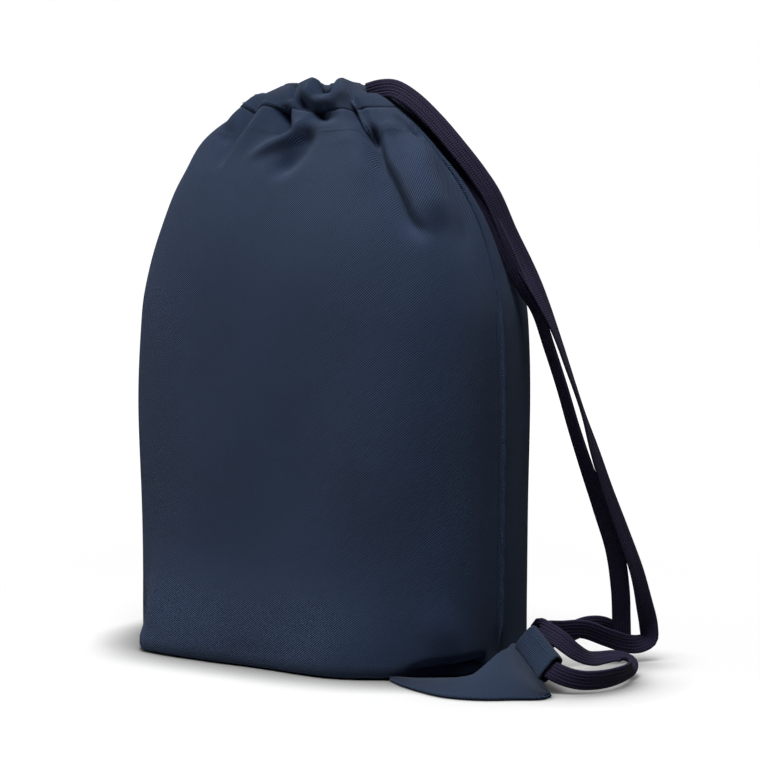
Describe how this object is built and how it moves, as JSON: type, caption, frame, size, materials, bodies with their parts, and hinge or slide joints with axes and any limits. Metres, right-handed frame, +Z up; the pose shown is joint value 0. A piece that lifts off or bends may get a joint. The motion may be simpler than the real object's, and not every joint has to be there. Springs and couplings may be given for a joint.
{
  "type": "drawstring backpack",
  "caption": "Soft drawstring backpack, stuffed and standing with its mouth drawn shut, a flat shoulder cord on each side looped through a cloth tab at the bottom corner.",
  "frame": {"origin": "on the floor, under the middle of the floor area that the bag, its bottom corners and its tabs cover, cords left out", "axes": "+Z up, -Y out of the front panel, +X towards the side whose cord is in view"},
  "size_m": [0.3799, 0.2299, 0.37],
  "materials": {
    "cloth": "matt woven polyester, navy",
    "thread": "matt sewing thread, navy",
    "cord": "matt flat braid, very dark indigo"
  },
  "bodies": {
    "bag": {"front_panel": "cloth", "back_panel": "cloth", "right_side_seam": "cloth", "left_side_seam": "cloth", "front_channel": "cloth", "back_channel": "cloth", "front_hem_stitch": "thread", "back_hem_stitch": "thread", "right_ear": "cloth", "left_ear": "cloth", "right_tab": "cloth", "left_tab": "cloth", "right_tab_stitch": "thread", "left_tab_stitch": "thread", "right_cord_channel_run": "cord", "left_cord_channel_run": "cord", "right_cord_inner_band": "cord", "left_cord_inner_band": "cord", "right_cord_tab_run": "cord", "left_cord_tab_run": "cord", "right_cord_floor_loop": "cord", "left_cord_floor_loop": "cord", "right_cord_outer_band": "cord", "left_cord_outer_band": "cord"},
    "right_strap": {"right_cord_front_strand": "cord", "right_cord_rear_strand": "cord"},
    "left_strap": {"left_cord_front_strand": "cord", "left_cord_rear_strand": "cord"}
  },
  "joints": [
    {"name": "right_strap_swing", "type": "hinge", "parent": "bag", "child": "right_strap", "pos_m": [0.026, -0.025, 0.3625], "axis": [-0.3921, -0.1759, 0.9029], "range_deg": [-6, 55]},
    {"name": "left_strap_swing", "type": "hinge", "parent": "bag", "child": "left_strap", "pos_m": [-0.0628, -0.025, 0.3535], "axis": [-0.0838, -0.3497, 0.9331], "range_deg": [-30, 20]}
  ]
}
